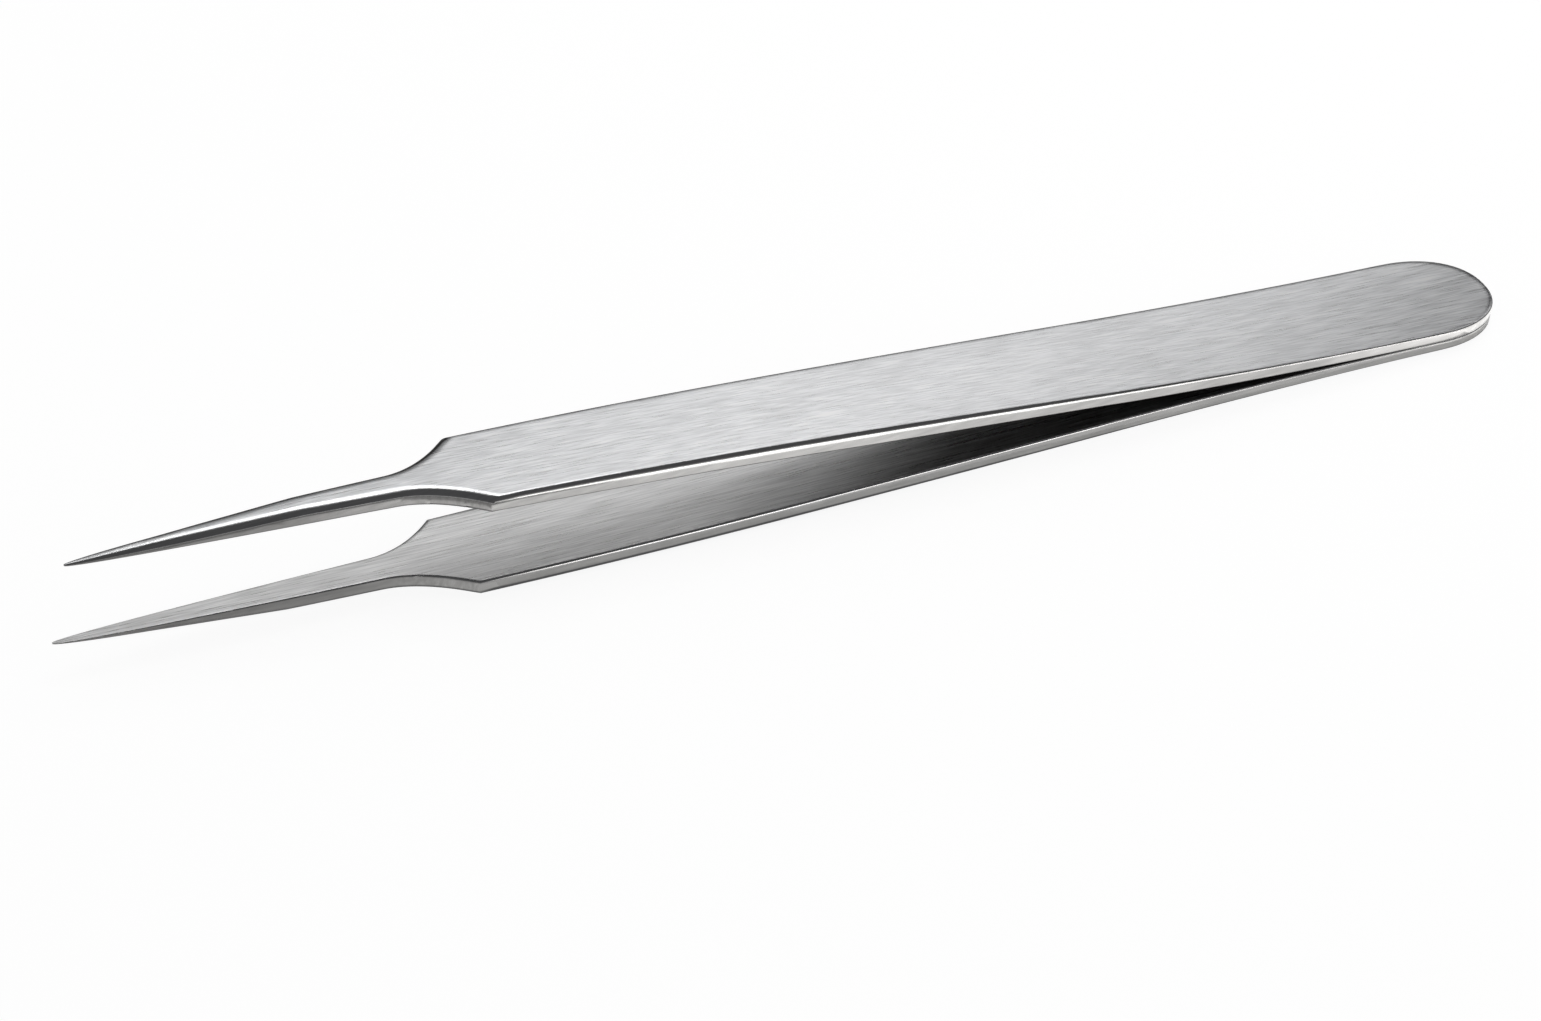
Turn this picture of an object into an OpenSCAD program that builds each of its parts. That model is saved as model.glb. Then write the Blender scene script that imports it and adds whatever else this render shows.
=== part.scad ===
// Fine-point tweezers for handling chips and small parts: two stainless blades spot-welded face to face
// at the tail, bowed apart, cut in at the shoulders and ground down to needle points.
// They lie on the lower blade, as they come to rest on a bench: tail towards +X, points towards -X.

/* [Outline from above] */
// Width across the rounded tail
tail_w = 8.4; // [7:0.1:11]
// Length of the rounding at the tail, along the blade
tail_round = 5.9; // [3:0.1:8]
// Fullness of that rounding: 2 is a plain oval, higher is squarer
tail_fullness = 2.2; // [2:0.1:3]
// Length from the tail to the shoulders
body_len = 80.4; // [65:0.2:90]
// Width across the shoulders
shoulder_w = 7.3; // [6:0.1:10]
// Length from the shoulders to the points
point_len = 29.6; // [22:0.2:45]
// Length of the hollow neck beyond the shoulders
neck_len = 5.7; // [4:0.1:9]
// Sweep of the neck: 1 is straight, higher is more hollow
neck_sweep = 1.9; // [1.4:0.1:3]
// Width of the shank at the end of the neck
shank_w = 2.4; // [1.6:0.1:3.4]
// Width of each point at its very end
tip_w = 0.12; // [0.06:0.02:0.6]
// Fullness of the shank seen from above: 1 tapers straight, lower is fuller
shank_fullness = 0.6; // [0.5:0.05:1]

/* [Thickness] */
// Thickness of a blade along its body
blade_t = 1.2; // [0.8:0.05:1.6]
// Thickness of a blade at its thinned tail
tail_t = 0.7; // [0.5:0.05:1]
// Length over which the tail swells to the full thickness
swell_len = 56; // [20:1:70]
// Thickness of each point at its very end
tip_t = 0.1; // [0.06:0.02:0.5]
// Length ground down in thickness, back from the points
grind_len = 17; // [10:0.5:20]
// Fullness of the ground length seen from the side: 1 tapers straight, lower is fuller
grind_fullness = 0.8; // [0.5:0.05:1]

/* [Bow of the blades] */
// Length over which the tails lie flat on each other for the welds
weld_len = 3.5; // [2:0.5:10]
// Length of the opening bend beyond the welds
opening_len = 29.5; // [15:0.5:32]
// Angle between each blade and the plane between them, along the straight part of the bow
bow_angle = 2.9; // [2:0.1:4]
// Length of the closing bend, which ends where the neck ends
closing_len = 30; // [12:0.5:35]
// Angle between each jaw and the plane between them
jaw_angle = 0.6; // [0:0.1:1.5]

/* [Outer edges] */
// Radius of the edge round the tail
tail_edge = 0.1; // [0.04:0.02:0.3]
// Distance from the tail at which the rounding starts to grow
edge_start = 12; // [6:1:20]
// Length over which it grows to the body's full rounding
edge_growth = 48; // [20:1:58]
// Width that the rounding takes from the body's outer face
body_edge_across = 0.4; // [0.1:0.05:1]
// Depth that the rounding takes from the body's sides
body_edge_down = 0.55; // [0.1:0.05:0.8]
// Width that the rounding takes from the shank's outer face
shank_edge_across = 0.75; // [0.2:0.05:1]
// Depth that the rounding takes from the shank's sides
shank_edge_down = 0.5; // [0.2:0.05:0.7]

/* [Smoothness] */
// Steps round a quarter of the tail
tail_steps = 16; // [8:1:20]
// Steps along the body
body_steps = 36; // [16:1:50]
// Steps along the neck
neck_steps = 16; // [8:1:20]
// Steps along the shank
shank_steps = 34; // [16:1:40]
// Steps round an outer edge
edge_steps = 7; // [4:1:8]
// Steps along each bend of the bow
bend_steps = 14; // [6:1:20]

/* [Hidden] */

steel = [0.80, 0.81, 0.83];
neck_end = body_len + neck_len;
total_len = body_len + point_len;
shank_len = total_len - neck_end;
opening_end = weld_len + opening_len;
closing_start = neck_end - closing_len;
// The rounding never takes more than these shares of the half width and of the thickness.
most_across = 0.9;
most_down = 0.75;
// The shank's stations crowd towards the point by this power.
crowding = 1.5;
// Stock under the inner face that the bow is cut from, and the overrun of that cut.
spare = 1;

// Goes smoothly from 0 at a to 1 at b.
function ease(a, b, x) = let (s = min(max((x - a) / (b - a), 0), 1)) s * s * (3 - 2 * s);

// How far x is past a, up to b.
function past(a, b, x) = min(max(x - a, 0), b - a);

// Half the width of a blade at a distance x from the tail.
function tail_curve(x) =
    x < tail_round ? pow(1 - pow(1 - x / tail_round, tail_fullness), 1 / tail_fullness) : 1;
function body_half(x) = tail_w / 2 - (tail_w - shoulder_w) / 2 * pow(x / body_len, 2);
function shank_half(x) =
    tip_w / 2 + (shank_w - tip_w) / 2 * pow((total_len - x) / shank_len, shank_fullness);
function neck_half(x) =
    let (flare = shoulder_w / 2 - shank_half(body_len))
    shank_half(x) + flare * pow(max(neck_end - x, 0) / neck_len, neck_sweep);
function half_width(x) = x <= body_len ? tail_curve(x) * body_half(x) : neck_half(x);

// Height of a blade's inner face above the plane between the blades: flat at the welds, then the opening
// bend, a straight stretch, the closing bend and the straight jaw.
function inner(x) =
    let (
        bow = tan(bow_angle),
        jaw = tan(jaw_angle),
        opened = past(weld_len, opening_end, x),
        closed = past(closing_start, neck_end, x)
    )
    bow * pow(opened, 2) / (2 * opening_len)
    + bow * past(opening_end, neck_end, x)
    - (bow - jaw) * pow(closed, 2) / (2 * closing_len)
    + jaw * max(x - neck_end, 0);

// Thickness of a blade, and the height of its outer face.
function thickness(x) =
    x < total_len - grind_len
    ? tail_t + (blade_t - tail_t) * ease(0, swell_len, x)
    : tip_t + (blade_t - tip_t) * pow((total_len - x) / grind_len, grind_fullness);
function outer(x) = inner(x) + thickness(x);

// Rounding of the outer edges: the tail's grows into the body's along the blade, and the shank's takes over
// at the shoulders.
function rounding(body, shank, x) =
    x > body_len ? shank : tail_edge + (body - tail_edge) * ease(edge_start, edge_start + edge_growth, x);
function room(x) = x < tail_round ? tail_w / 2 : half_width(x);
function edge_across(x) = min(rounding(body_edge_across, shank_edge_across, x), most_across * room(x));
function edge_down(x) = min(rounding(body_edge_down, shank_edge_down, x), most_down * thickness(x));

// Distances from the tail at which a blade is drawn.
stations = [
    for (i = [0 : tail_steps]) tail_round * (1 - pow(cos(90 * i / tail_steps), 2 / tail_fullness)),
    for (i = [1 : body_steps]) tail_round + (body_len - tail_round) * i / body_steps,
    for (i = [1 : neck_steps]) body_len + neck_len * i / neck_steps,
    for (i = [1 : shank_steps]) total_len - shank_len * pow(1 - i / shank_steps, crowding)
];
last = len(stations) - 1;
shoulder = tail_steps + body_steps;

// One side of the outline, from the tail to the point, and the inward direction of each of its pieces.
outline = [for (x = stations) [x, half_width(x)]];
function side_normal(i) = let (d = outline[i + 1] - outline[i]) [d.y, -d.x] / norm(d);

// Step from a corner to the place where two lines meet that lie a and b inward of it, along m and n.
function meet(m, a, n, b) = let (c = m * n) ((a - c * b) * m + (b - c * a) * n) / (1 - c * c);

// Step from point i of the outline to the outer face's edge. At the shoulders the body's rounding and the
// neck's wider one meet in a ridge.
function inset(i) =
    i == 0 ? [edge_across(0), 0]
    : i == last ? [0, -edge_across(total_len)]
    : i == shoulder
    ? meet(side_normal(i - 1), edge_across(body_len), side_normal(i), edge_across(stations[i + 1]))
    : let (both = side_normal(i - 1) + side_normal(i)) 2 * edge_across(stations[i]) * both / (both * both);

// The edge profile at point i of the outline: level 0 is the foot of the stock, and the levels above it round
// the outer edge, from the side wall up to the outer face.
function level_point(i, level) =
    let (x = stations[i], a = 90 * (level - 1) / edge_steps)
    level == 0 ? [x, outline[i].y, -spare]
    : let (p = outline[i] + inset(i) * (1 - cos(a)))
      [p.x, p.y, outer(p.x) - edge_down(x) * (1 - sin(a))];

// A level is a ring: up one side from the tail to the point, and back down the other side.
top = edge_steps + 1;
ring_size = 2 * last + 1;
function ring(level) = [
    for (i = [0 : last]) level_point(i, level),
    for (i = [last : -1 : 1]) let (p = level_point(i, level)) [p.x, -p.y, p.z]
];
function at(level, i) = level * ring_size + i % ring_size;

// The stock has the finished outline, rounded edges and outer face: walls between the rings, one flat foot,
// and strips across the outer face.
stock_points = [for (level = [0 : top]) each ring(level)];
stock_faces = [
    for (level = [0 : top - 1], i = [0 : ring_size - 1])
        [at(level, i), at(level + 1, i), at(level + 1, i + 1), at(level, i + 1)],
    [for (i = [0 : ring_size - 1]) at(0, i)],
    [at(top, 0), at(top, ring_size - 1), at(top, 1)],
    for (i = [1 : last - 1])
        [at(top, ring_size - i), at(top, ring_size - i - 1), at(top, i + 1), at(top, i)]
];

// Side profile of the space under the inner face.
bow_profile = [
    [-spare, -2 * spare],
    [-spare, 0],
    for (i = [0 : bend_steps]) let (x = weld_len + opening_len * i / bend_steps) [x, inner(x)],
    for (i = [0 : bend_steps]) let (x = closing_start + closing_len * i / bend_steps) [x, inner(x)],
    [total_len + spare, inner(total_len + spare)],
    [total_len + spare, -2 * spare]
];

// Rest pose: the lower blade touches the bench at its tail and at its belly, so the pair leans by this much.
rest_tilt = max([
    for (x = stations)
        if (x > opening_end) atan((outer(x) - outer(tail_edge)) / (x - tail_edge))
]);
rest_height = outer(tail_edge) * cos(rest_tilt) - tail_edge * sin(rest_tilt);

// A blade with its outer face up, its tail at the origin and its point towards -X.
module blade() {
    mirror([1, 0, 0])
        difference() {
            polyhedron(points = stock_points, faces = stock_faces, convexity = 4);
            rotate([90, 0, 0])
                linear_extrude(height = tail_w + shoulder_w, center = true)
                    polygon(bow_profile);
        }
}

// Leans the pair into its rest pose, with the middle of its length over the origin.
module at_rest() {
    translate([total_len / 2 * cos(rest_tilt), 0, rest_height])
        rotate([0, rest_tilt, 0])
            children();
}

module upper_blade() {
    color(steel)
        at_rest()
            blade();
}

module lower_blade() {
    color(steel)
        at_rest()
            mirror([0, 0, 1])
                blade();
}

upper_blade();
lower_blade();
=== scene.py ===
"""Looks of the fine-point tweezers: two brushed steel blades on a pale floor in soft light."""
from math import radians

import bmesh
import bpy
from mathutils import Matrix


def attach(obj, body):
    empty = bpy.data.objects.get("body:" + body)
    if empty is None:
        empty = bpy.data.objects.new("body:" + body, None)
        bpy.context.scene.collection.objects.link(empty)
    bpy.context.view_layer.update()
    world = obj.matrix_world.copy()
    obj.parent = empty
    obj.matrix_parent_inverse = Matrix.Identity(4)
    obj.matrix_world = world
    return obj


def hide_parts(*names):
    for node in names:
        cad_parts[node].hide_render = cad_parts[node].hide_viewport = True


MM = 0.001
WHITE = (1, 1, 1, 1)

# Camera: a long lens 0.85 m away, as the nearly parallel edges in the photograph ask.
CAMERA_PLACE = (-0.389037, -0.55737, 0.503664)
CAMERA_TURN = (53.053, -6.3557, -30.0852)
CAMERA_LENS = 298.8
CAMERA_SENSOR = 36
CAMERA_NEAR = 0.01

# Steel in linear colours: the brushed outer and inner flats, the ground side walls (the lower blade's
# darkened with painted shade), the roundings painted dark as a painted reflection, and a painted highlight
# along the lower blade's inner edges.
FLAT_STEEL = (0.832, 0.838, 0.85, 1)
INNER_STEEL = (0.800, 0.799, 0.798, 1)
UPPER_WALL_STEEL = (0.74, 0.73, 0.715, 1)
# Painted shade: the lower blade's walls are painted darker than the upper's, for the shaded floor they
# mirror.
LOWER_WALL_SHADED_STEEL = (0.54, 0.535, 0.525, 1)
# Painted reflection: the roundings are painted nearly black, for the dark band they mirror.
ROUND_PAINTED_DARK_REFLECTION = (0.12, 0.12, 0.123, 1)
# Painted highlight: the lower blade's inner edges are painted near white, for the line of light they mirror.
EDGE_HIGHLIGHT_STEEL = (1.0, 0.99, 0.975, 1)

# Brush marks: length, width, detail, and degrees off the blade's length.
STRAIGHT_MARKS = (6.0 * MM, 0.11 * MM, 2.0, 1)
SLANTED_MARKS = (3.2 * MM, 0.11 * MM, 1.0, -3)
CLOUDY_MARKS = (6.0 * MM, 1.1 * MM, 2.0, -3)
# The darkest and the lightest streak of each.
STRAIGHT_STREAKS = (0.80, 1.20)
SLANTED_STREAKS = (0.90, 1.10)
CLOUDY_STREAKS = (0.94, 1.06)
# How much calmer the streaks are on the ground walls.
WALL_CALM = 0.5
# The marks' noise: the part of its range that is used, its roughness, and its fineness through the blade as
# a share of that across it.
NOISE_RANGE = (0.3, 0.7)
NOISE_ROUGHNESS = 0.55
DOWN_SHARE = 0.25
FLAT_ROUGHNESS = (0.27, 0.35)
SLANTED_ROUGHNESS = (-0.02, 0.02)
WALL_ROUGHNESS = 0.16
RELIEF_STRENGTH = 0.15
SLANTED_RELIEF = 0.5
RELIEF_HEIGHT = 0.0009 * MM

# Rough lean of each blade's flats at rest, in degrees, which the brush marks follow.
UPPER_LEAN = 4.5
LOWER_LEAN = 0.5

# How upright the normal is (1 on a flat, 0 on a side wall) where one finish starts to give way to the next,
# and where the next has taken over. Below 0 it faces the other blade.
FLAT_TO_WALL = (0.985, 0.90)
FLAT_TO_ROUND = (0.98, 0.92)
TO_INNER = (-0.90, -0.97)
# The next two give where the painted highlight lies on the edges round the inner face.
HIGHLIGHT_FROM = (-0.08, -0.20)
HIGHLIGHT_UP_TO = (0.58, 0.46)
# The same from a side wall to a rounding painted dark as a painted reflection, on the neck and shank and on
# each blade's body. The shank's values give way to the body's at the shoulders.
SHANK_TURN = (0.05, 0.52)
UPPER_TURN = (0.36, 0.62)
LOWER_TURN = (0.02, 0.26)
SHOULDERS = (-25.4 * MM, -24.4 * MM)
# The painted highlight along the lower blade's inner edge fades in behind the shoulders, and out again
# before the weld.
HIGHLIGHT_IN = (-26 * MM, -20 * MM)
HIGHLIGHT_OUT = (30 * MM, 42 * MM)
# Painted shade in the gap: seen in the other blade, an inner face keeps this share of its brightness, from
# the gap's mouth inwards.
GAP = (-6.5 * MM, 14.0 * MM)
GAP_DIMMING = (1.0, 0.10)

# The flats and walls turn over towards their rims within this radius, from the front side to the back one.
RIM_RADIUS = (0.24 * MM, 0.50 * MM)
FRONT_TO_BACK = (-1 * MM, 2 * MM)
# On the slim shank it shrinks to this share, and round the tail's end it grows by this much.
SHANK_RIM_SHARE = 0.04
SHANK_TO_BODY = (-37 * MM, -21 * MM)
TAIL_RIM = 0.25 * MM
TAIL_END = (46 * MM, 54 * MM)
RIM_SAMPLES = 8

# The edges round the inner faces are broken by this much at the shoulders, and by these shares of it at
# places along the blade.
UPPER_BREAK = 0.34 * MM
LOWER_BREAK = 0.20 * MM
BREAK_SHARES = [(-55 * MM, 0.0), (-45 * MM, 0.45), (-30 * MM, 0.7), (-25 * MM, 1.0), (-8 * MM, 1.0),
                (25 * MM, 0.4), (45 * MM, 0.2)]
BREAK_STEPS = 4
# Edges sharper than this are broken.
BREAK_ANGLE = radians(60)
WELD_REACH = 0.0005 * MM
FLAT_ENOUGH = radians(0.05)
CREASE_ANGLE = radians(31)
# Faces with no more than this of upright in their normal are side walls, whose corners are soft.
WALL_SLOPE = 0.25

# Light: the white room's ambient share, and one soft box.
AMBIENT = 0.45
SOFTBOX_PLACE = (0.098, 0.08, 0.245)
SOFTBOX_SIZE = (0.040, 0.14)
SOFTBOX_POWER = 0.088

# White paper: its colour and its own glow, for the camera and for the steel's reflections.
FLOOR_SIZE = 3
SEEN_PAPER = (0.20, 0.885)
MIRRORED_PAPER = (0.80, 0.20)

# Cards stand or lie.
STANDING = 90
LYING = 0


def pick(thing):
    """Leaves only this object selected, and makes it the active one."""
    bpy.ops.object.select_all(action="DESELECT")
    thing.select_set(True)
    bpy.context.view_layer.objects.active = thing


def new_material(name):
    """A new material with an empty node tree."""
    material = bpy.data.materials.new(name)
    material.use_nodes = True
    material.node_tree.nodes.clear()
    return material, material.node_tree


def put(tree, kind, inputs=None, **settings):
    """Adds a node. Its inputs take plain values, or another node's output to be wired in."""
    made = tree.nodes.new(kind)
    for key, value in settings.items():
        setattr(made, key, value)
    for key, value in (inputs or {}).items():
        if isinstance(value, bpy.types.NodeSocket):
            tree.links.new(value, made.inputs[key])
        else:
            made.inputs[key].default_value = value
    return made


def calc(tree, operation, a, b=0.0):
    """The result of one Math node."""
    return put(tree, "ShaderNodeMath", {0: a, 1: b}, operation=operation).outputs[0]


def fade(tree, value, start, end, low=0.0, high=1.0, curve="LINEAR"):
    """Goes from low to high while the value goes from start to end."""
    return put(tree, "ShaderNodeMapRange",
               {"Value": value, "From Min": start, "From Max": end, "To Min": low, "To Max": high},
               interpolation_type=curve).outputs[0]


def mix(tree, share, a, b):
    """A number between a and b."""
    return put(tree, "ShaderNodeMix", {0: share, 2: a, 3: b}, data_type="FLOAT").outputs[0]


def blend(tree, share, a, b):
    """A colour between a and b."""
    return put(tree, "ShaderNodeMix", {0: share, 6: a, 7: b}, data_type="RGBA").outputs[2]


def scaled(tree, colour, share):
    """A colour made darker or lighter by a share."""
    return put(tree, "ShaderNodeVectorMath", {0: colour, "Scale": share}, operation="SCALE").outputs[0]


def new_group(name, takes, gives):
    """Starts a shader node group with named inputs and outputs."""
    tree = bpy.data.node_groups.new(name, "ShaderNodeTree")
    for label, kind, value in takes:
        made = tree.interface.new_socket(name=label, in_out="INPUT", socket_type=kind)
        if value is not None:
            made.default_value = value
    for label, kind in gives:
        tree.interface.new_socket(name=label, in_out="OUTPUT", socket_type=kind)
    return tree, tree.nodes.new("NodeGroupInput"), tree.nodes.new("NodeGroupOutput")


def brushing_group():
    """Fine scratches along X: a noise drawn out to the scratches' length and width, from 0 to 1."""
    tree, takes, gives = new_group(
        "brushing",
        [("Vector", "NodeSocketVector", None), ("Length", "NodeSocketFloat", 4 * MM),
         ("Width", "NodeSocketFloat", 0.1 * MM), ("Detail", "NodeSocketFloat", 2.0)],
        [("Lines", "NodeSocketFloat")],
    )
    along = calc(tree, "DIVIDE", 1.0, takes.outputs["Length"])
    across = calc(tree, "DIVIDE", 1.0, takes.outputs["Width"])
    down = calc(tree, "MULTIPLY", across, DOWN_SHARE)
    stretch = put(tree, "ShaderNodeCombineXYZ", {"X": along, "Y": across, "Z": down})
    drawn = put(tree, "ShaderNodeVectorMath", {0: takes.outputs["Vector"], 1: stretch.outputs[0]},
                operation="MULTIPLY")
    noise = put(tree, "ShaderNodeTexNoise", {"Vector": drawn.outputs[0], "Scale": 1.0,
                                             "Detail": takes.outputs["Detail"],
                                             "Roughness": NOISE_ROUGHNESS})
    tree.links.new(fade(tree, noise.outputs["Fac"], *NOISE_RANGE), gives.inputs["Lines"])
    return tree


def facing_group():
    """Tells side walls, roundings, the inner face and its edge with the painted highlight apart by the way
    the surface faces.
    """
    tree, takes, gives = new_group(
        "facing",
        [("Normal", "NodeSocketVector", None), ("Outward", "NodeSocketFloat", 1.0),
         ("Turn Start", "NodeSocketFloat", UPPER_TURN[0]), ("Turn End", "NodeSocketFloat", UPPER_TURN[1])],
        [("Wall", "NodeSocketFloat"), ("Round", "NodeSocketFloat"), ("Inner", "NodeSocketFloat"),
         ("Painted Highlight", "NodeSocketFloat")],
    )
    normal = put(tree, "ShaderNodeSeparateXYZ", {0: takes.outputs["Normal"]})
    upright = calc(tree, "ABSOLUTE", normal.outputs["Z"])
    outward = calc(tree, "MULTIPLY", normal.outputs["Z"], takes.outputs["Outward"])
    past_flat = fade(tree, upright, *FLAT_TO_ROUND, curve="SMOOTHSTEP")
    past_wall = fade(tree, upright, takes.outputs["Turn Start"], takes.outputs["Turn End"],
                     curve="SMOOTHSTEP")
    masks = {
        "Wall": fade(tree, upright, *FLAT_TO_WALL, curve="SMOOTHSTEP"),
        "Round": calc(tree, "MULTIPLY", past_flat, past_wall),
        "Inner": fade(tree, outward, *TO_INNER),
        "Painted Highlight": calc(tree, "MULTIPLY", fade(tree, outward, *HIGHLIGHT_FROM), fade(tree, upright, *HIGHLIGHT_UP_TO)),
    }
    for label, mask in masks.items():
        tree.links.new(mask, gives.inputs[label])
    return tree


def brush_marks(tree, brushing, place, lean, marks):
    """One layer of brush marks, which lean with the blade and lie a little off its length."""
    length, width, detail, slant = marks
    turned = put(tree, "ShaderNodeMapping",
                 {"Vector": place.outputs["Object"], "Rotation": (0, radians(lean), radians(slant))})
    made = put(tree, "ShaderNodeGroup",
               {"Vector": turned.outputs[0], "Length": length, "Width": width, "Detail": detail},
               node_tree=brushing)
    return made.outputs["Lines"]


def steel_colour(tree, face, x, streaks, wall_steel_and_shade, edge_highlight):
    """Colour of flats, walls with painted shade on the lower blade, roundings with a painted dark
    reflection, and inner edges with a painted highlight, under the streaks of the brushing.
    """
    flat = blend(tree, face.outputs["Inner"], FLAT_STEEL, INNER_STEEL)
    # On the lower blade the wall colour carries painted shade.
    ground = blend(tree, face.outputs["Wall"], flat, wall_steel_and_shade)
    # Painted reflection: the roundings are painted dark.
    with_painted_reflection = blend(tree, face.outputs["Round"], ground, ROUND_PAINTED_DARK_REFLECTION)
    # Painted highlight along the lower blade's inner edges.
    highlight_share = calc(tree, "MULTIPLY", face.outputs["Painted Highlight"], fade(tree, x, *HIGHLIGHT_IN, high=edge_highlight))
    highlight_share = calc(tree, "MULTIPLY", highlight_share, fade(tree, x, *HIGHLIGHT_OUT, 1.0, 0.0))
    calm = calc(tree, "MULTIPLY", face.outputs["Wall"], WALL_CALM)
    return scaled(tree, blend(tree, highlight_share, with_painted_reflection, EDGE_HIGHLIGHT_STEEL), mix(tree, calm, streaks, 1.0))


def gap_dimming(tree, face, x):
    """Painted shade in the gap: the share of its brightness that an inner face keeps where the other blade
    mirrors it.
    """
    ray = put(tree, "ShaderNodeLightPath")
    mirrored = calc(tree, "MULTIPLY", ray.outputs["Is Glossy Ray"], face.outputs["Inner"])
    return mix(tree, mirrored, 1.0, fade(tree, x, *GAP, *GAP_DIMMING))


def steel_normal(tree, face, x, y, relief):
    """Normals that turn over towards the rims, with the brush marks' fine relief."""
    across = fade(tree, y, *FRONT_TO_BACK, *RIM_RADIUS)
    slim = fade(tree, x, *SHANK_TO_BODY, low=SHANK_RIM_SHARE)
    radius = calc(tree, "ADD", calc(tree, "MULTIPLY", across, slim), fade(tree, x, *TAIL_END, high=TAIL_RIM))
    rim = put(tree, "ShaderNodeBevel", {"Radius": radius}, samples=RIM_SAMPLES)
    skin = put(tree, "ShaderNodeNewGeometry")
    turned = put(tree, "ShaderNodeMix",
                 {0: face.outputs["Round"], 4: rim.outputs[0], 5: skin.outputs["Normal"]},
                 data_type="VECTOR")
    return put(tree, "ShaderNodeBump", {"Strength": RELIEF_STRENGTH, "Distance": RELIEF_HEIGHT,
                                        "Height": relief, "Normal": turned.outputs[1]}).outputs[0]


def blade_steel(name, brushing, facing, lean, outward, turn, wall_steel_and_shade, edge_highlight):
    """Brushed stainless steel: scratched flats, cleaner ground walls, roundings with a painted dark
    reflection, and painted shade and highlight.
    """
    material, tree = new_material(name)
    place = put(tree, "ShaderNodeTexCoord")
    at = put(tree, "ShaderNodeSeparateXYZ", {0: place.outputs["Object"]})
    x, y = at.outputs["X"], at.outputs["Y"]
    turn_start, turn_end = (fade(tree, x, *SHOULDERS, *levels) for levels in zip(SHANK_TURN, turn))
    face = put(tree, "ShaderNodeGroup", {"Normal": place.outputs["Normal"], "Outward": outward,
                                         "Turn Start": turn_start, "Turn End": turn_end}, node_tree=facing)
    straight = brush_marks(tree, brushing, place, lean, STRAIGHT_MARKS)
    slanted = brush_marks(tree, brushing, place, lean, SLANTED_MARKS)
    clouds = brush_marks(tree, brushing, place, lean, CLOUDY_MARKS)

    streaks = calc(tree, "MULTIPLY", fade(tree, straight, 0, 1, *STRAIGHT_STREAKS),
                   fade(tree, slanted, 0, 1, *SLANTED_STREAKS))
    streaks = calc(tree, "MULTIPLY", streaks, fade(tree, clouds, 0, 1, *CLOUDY_STREAKS))
    colour = scaled(tree, steel_colour(tree, face, x, streaks, wall_steel_and_shade, edge_highlight), gap_dimming(tree, face, x))
    flat_roughness = calc(tree, "ADD", fade(tree, straight, 0, 1, *FLAT_ROUGHNESS),
                          fade(tree, slanted, 0, 1, *SLANTED_ROUGHNESS))
    relief = calc(tree, "ADD", straight, calc(tree, "MULTIPLY", slanted, SLANTED_RELIEF))
    steel = put(tree, "ShaderNodeBsdfPrincipled",
                {"Base Color": colour, "Metallic": 1.0,
                 "Roughness": mix(tree, face.outputs["Wall"], flat_roughness, WALL_ROUGHNESS),
                 "Normal": steel_normal(tree, face, x, y, relief)})
    put(tree, "ShaderNodeOutputMaterial", {"Surface": steel.outputs[0]})
    return material


def welded_copy(node, name):
    """A copy of a CAD blade as one skin, with the triangles of each flat face joined."""
    piece = bpy.data.objects.new(name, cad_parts[node].data.copy())
    bpy.context.scene.collection.objects.link(piece)
    pick(piece)
    piece.data.materials.clear()
    bpy.ops.mesh.customdata_custom_splitnormals_clear()
    bpy.ops.object.mode_set(mode="EDIT")
    bpy.ops.mesh.select_all(action="SELECT")
    bpy.ops.mesh.remove_doubles(threshold=WELD_REACH)
    bpy.ops.mesh.dissolve_limited(angle_limit=FLAT_ENOUGH)
    bpy.ops.object.mode_set(mode="OBJECT")
    return piece


def break_share(x):
    """Share of the full edge break at a place along the blade."""
    for (x0, share0), (x1, share1) in zip(BREAK_SHARES, BREAK_SHARES[1:]):
        if x < x1:
            return share0 + (share1 - share0) * max(0.0, x - x0) / (x1 - x0)
    return BREAK_SHARES[-1][1]


def break_inner_edges(piece, width):
    """Rounds off the sharp edges round the inner face, most at the shoulders."""
    skin = bmesh.new()
    skin.from_mesh(piece.data)
    weight = skin.edges.layers.float.new("bevel_weight_edge")
    for edge in skin.edges:
        if edge.calc_face_angle(0) > BREAK_ANGLE:
            edge[weight] = break_share((edge.verts[0].co.x + edge.verts[1].co.x) / 2)
    skin.to_mesh(piece.data)
    skin.free()
    pick(piece)
    bpy.ops.object.modifier_add(type="BEVEL")
    bevel = piece.modifiers[-1]
    bevel.limit_method = "WEIGHT"
    bevel.width = width
    bevel.segments = BREAK_STEPS
    bevel.use_clamp_overlap = False
    bpy.ops.object.modifier_apply(modifier=bevel.name)


def smooth_curves(piece):
    """Shades the curves and the walls' corners smooth, and keeps the flats flat and the ridges crisp."""
    pick(piece)
    bpy.ops.object.shade_smooth_by_angle(angle=CREASE_ANGLE)
    skin = bmesh.new()
    skin.from_mesh(piece.data)
    for edge in skin.edges:
        if edge.is_manifold and all(abs(face.normal.z) < WALL_SLOPE for face in edge.link_faces):
            edge.smooth = True
    skin.to_mesh(piece.data)
    skin.free()
    bpy.ops.object.modifier_add(type="WEIGHTED_NORMAL")
    even = piece.modifiers[-1]
    even.keep_sharp = True
    bpy.ops.object.modifier_apply(modifier=even.name)


def blade(node, name, edge_break, material):
    """One finished blade, which stands for its CAD node."""
    piece = welded_copy(node, name)
    break_inner_edges(piece, edge_break)
    smooth_curves(piece)
    piece.data.materials.append(material)
    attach(piece, "root")
    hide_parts(node)


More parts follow.
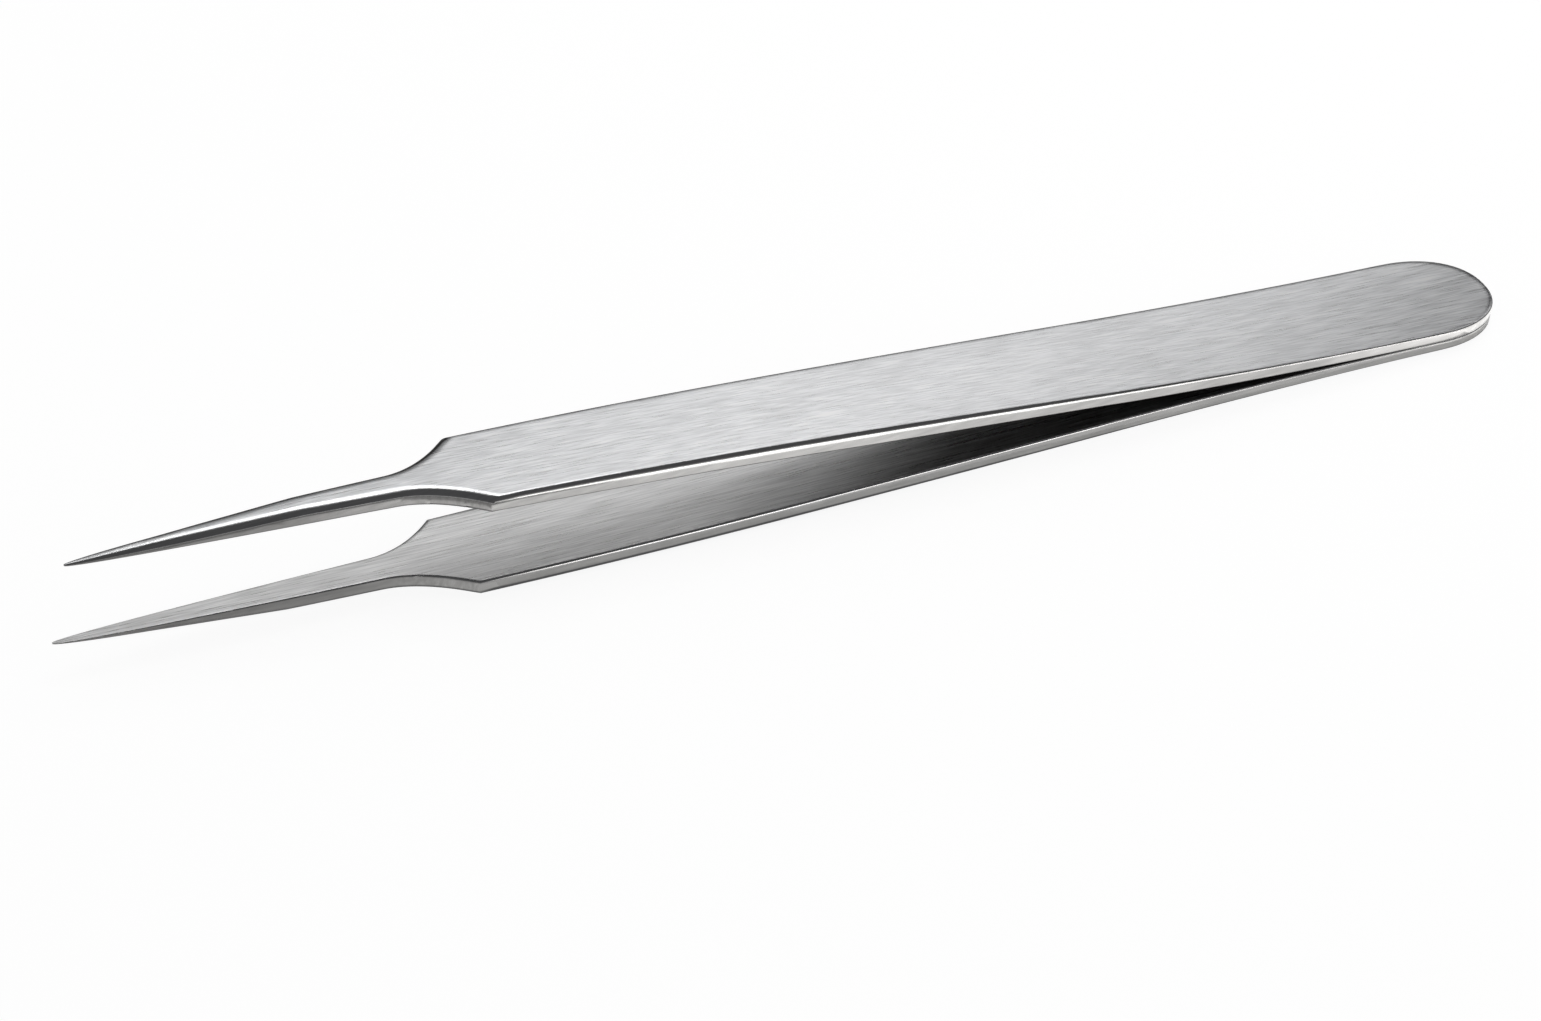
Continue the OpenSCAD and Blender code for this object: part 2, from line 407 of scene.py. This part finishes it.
def add_camera():
    """The photograph's view, from the front left and above."""
    bpy.ops.object.camera_add(location=CAMERA_PLACE, rotation=[radians(a) for a in CAMERA_TURN])
    camera = bpy.context.object
    camera.name = "camera"
    camera.data.lens = CAMERA_LENS
    camera.data.sensor_width = CAMERA_SENSOR
    camera.data.clip_start = CAMERA_NEAR
    bpy.context.scene.camera = camera


def white_world():
    """A white room: plain ambient light, and white where the camera or the steel looks into it."""
    world = bpy.data.worlds.new("white room")
    bpy.context.scene.world = world
    world.use_nodes = True
    tree = world.node_tree
    tree.nodes.clear()
    ray = put(tree, "ShaderNodeLightPath")
    mirrored = calc(tree, "MAXIMUM", ray.outputs["Is Glossy Ray"], ray.outputs["Is Transmission Ray"])
    looked_at = calc(tree, "MAXIMUM", ray.outputs["Is Camera Ray"], mirrored)
    sky = put(tree, "ShaderNodeBackground",
              {"Color": WHITE, "Strength": fade(tree, looked_at, 0, 1, AMBIENT, 1.0)})
    put(tree, "ShaderNodeOutputWorld", {"Surface": sky.outputs[0]})


def paper(tree, colour, glow):
    """Matt paper with a glow of its own, which keeps shadows on it faint."""
    lit = put(tree, "ShaderNodeBsdfDiffuse", {"Color": (colour, colour, colour, 1)})
    bright = put(tree, "ShaderNodeEmission", {"Color": WHITE, "Strength": glow})
    return put(tree, "ShaderNodeAddShader", {0: lit.outputs[0], 1: bright.outputs[0]}).outputs[0]


def floor_paper():
    """White paper: the camera sees it nearly white with a faint shadow, the steel sees its real shading."""
    material, tree = new_material("white paper")
    ray = put(tree, "ShaderNodeLightPath")
    mirrored = paper(tree, *MIRRORED_PAPER)
    seen = paper(tree, *SEEN_PAPER)
    mixed = put(tree, "ShaderNodeMixShader", {0: ray.outputs["Is Camera Ray"], 1: mirrored, 2: seen})
    put(tree, "ShaderNodeOutputMaterial", {"Surface": mixed.outputs[0]})
    return material


def add_floor():
    """The bench that the pair lies on."""
    bpy.ops.mesh.primitive_plane_add(size=FLOOR_SIZE, location=(0, 0, 0))
    floor = bpy.context.object
    floor.name = "floor"
    floor.data.materials.append(floor_paper())


def card_glow(name, tone, tail_tone):
    """Light of an even tone, or of one that runs to another tone towards the tail."""
    material, tree = new_material(name)
    place = put(tree, "ShaderNodeTexCoord")
    at = put(tree, "ShaderNodeSeparateXYZ", {0: place.outputs["Object"]})
    level = fade(tree, at.outputs["X"], -0.5, 0.5, tone, tone if tail_tone is None else tail_tone)
    glow = put(tree, "ShaderNodeEmission", {"Color": WHITE, "Strength": level})
    put(tree, "ShaderNodeOutputMaterial", {"Surface": glow.outputs[0]})
    return material


def card(name, centre, size, turn, tone, tail_tone=None, slant=0.0):
    """A card that only the steel's reflections see. The slant slides its edge nearest the blades towards
    the points."""
    bpy.ops.mesh.primitive_plane_add(size=1, location=centre, rotation=(radians(turn), 0, 0))
    made = bpy.context.object
    made.name = name
    made.scale = (size[0], size[1], 1)
    for corner in made.data.vertices:
        if corner.co.y > 0:
            corner.co.x -= slant / size[0]
    made.data.materials.append(card_glow(name, tone, tail_tone))
    made.visible_camera = False
    made.visible_diffuse = False
    made.visible_transmission = False
    made.visible_shadow = False


def add_front_cards():
    """In front: seen in the front roundings, from the body's white line to the dark neck and shank."""
    card("front card", (0.05, -0.30, 0.15), (0.80, 0.22), STANDING, 0.42)
    card("front light strip", (0.225, -0.28, 0.022), (0.25, 0.040), STANDING, 2.5, 4.0)
    card("front floor light", (0.189, -0.143, 0.0004), (0.15, 0.274), LYING, 1.6, 3.2, 0.1276)
    card("front floor card", (-0.086, -0.143, 0.0004), (0.40, 0.274), LYING, 0.20, 0.20, 0.1276)


def add_near_cards():
    """On the floor along the blades: seen in the side walls, which brighten from the points to the tail."""
    card("near floor card, points", (-0.059, -0.0065, 0.0006), (0.050, 0.0108), LYING, 0.10, 0.34)
    card("near floor card, neck", (-0.029, -0.0065, 0.0006), (0.010, 0.0108), LYING, 0.34, 0.56)
    card("near floor card, shoulders", (-0.012, -0.01275, 0.0006), (0.024, 0.0165), LYING, 0.58, 0.72)
    card("near floor card, body", (0.01, -0.010, 0.0006), (0.02, 0.011), LYING, 0.72, 0.66)
    card("near floor card, back", (0.03, -0.008, 0.0006), (0.02, 0.007), LYING, 0.66, 0.64)
    card("near floor card, tail", (0.07, -0.0065, 0.0006), (0.06, 0.004), LYING, 0.68, 2.80)
    card("tail corner light", (0.0575, -0.0052, 0.00065), (0.012, 0.0064), LYING, 1.2)


def add_back_cards():
    """Overhead and behind: seen in the far rims, and in the flats, darker towards the points and tail."""
    card("ceiling card", (0.10, -0.07, 0.26), (0.90, 0.46), LYING, 0.42)
    card("left back card", (-0.055, 0.305, 0.30), (0.39, 0.28), STANDING, 0.22)
    card("fading back card", (0.21, 0.305, 0.30), (0.14, 0.28), STANDING, 0.22, 1.28)
    card("point light", (0.09, 0.303, 0.378), (0.11, 0.08), STANDING, 1.7)
    card("low back card", (0.15, 0.30, 0.08), (0.70, 0.16), STANDING, 0.12)
    card("back floor card", (0.155, 0.155, 0.0005), (0.60, 0.29), LYING, 0.12)
    card("tail floor card", (0.135, 0.045, 0.0007), (0.13, 0.15), LYING, 0.12)
    card("tail card", (0.244, 0.11, 0.10), (0.20, 0.20), STANDING, 0.04)


def add_softbox():
    """The one lamp: a soft box above the tail, mirrored in the roundings of the neck and shank."""
    bpy.ops.object.light_add(type="AREA", location=SOFTBOX_PLACE)
    lamp = bpy.context.object
    lamp.name = "softbox"
    lamp.data.shape = "RECTANGLE"
    lamp.data.size = SOFTBOX_SIZE[0]
    lamp.data.size_y = SOFTBOX_SIZE[1]
    lamp.data.energy = SOFTBOX_POWER


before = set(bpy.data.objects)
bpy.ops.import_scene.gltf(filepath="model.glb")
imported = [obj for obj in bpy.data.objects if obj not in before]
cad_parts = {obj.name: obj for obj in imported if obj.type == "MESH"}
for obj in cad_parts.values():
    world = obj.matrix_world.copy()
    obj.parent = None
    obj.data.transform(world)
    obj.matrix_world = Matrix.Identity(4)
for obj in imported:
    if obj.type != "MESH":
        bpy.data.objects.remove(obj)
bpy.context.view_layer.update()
bpy.context.scene.view_settings.view_transform = "Standard"
add_camera()
white_world()
add_floor()
add_front_cards()
add_near_cards()
add_back_cards()
add_softbox()

brushing = brushing_group()
facing = facing_group()
upper_steel = blade_steel("upper steel", brushing, facing, lean=UPPER_LEAN, outward=1.0, turn=UPPER_TURN,
                          wall_steel_and_shade=UPPER_WALL_STEEL, edge_highlight=0.0)
lower_steel = blade_steel("lower steel", brushing, facing, lean=LOWER_LEAN, outward=-1.0, turn=LOWER_TURN,
                          wall_steel_and_shade=LOWER_WALL_SHADED_STEEL, edge_highlight=1.0)
blade("upper_blade", "upper_blade_steel", UPPER_BREAK, upper_steel)
blade("lower_blade", "lower_blade_steel", LOWER_BREAK, lower_steel)
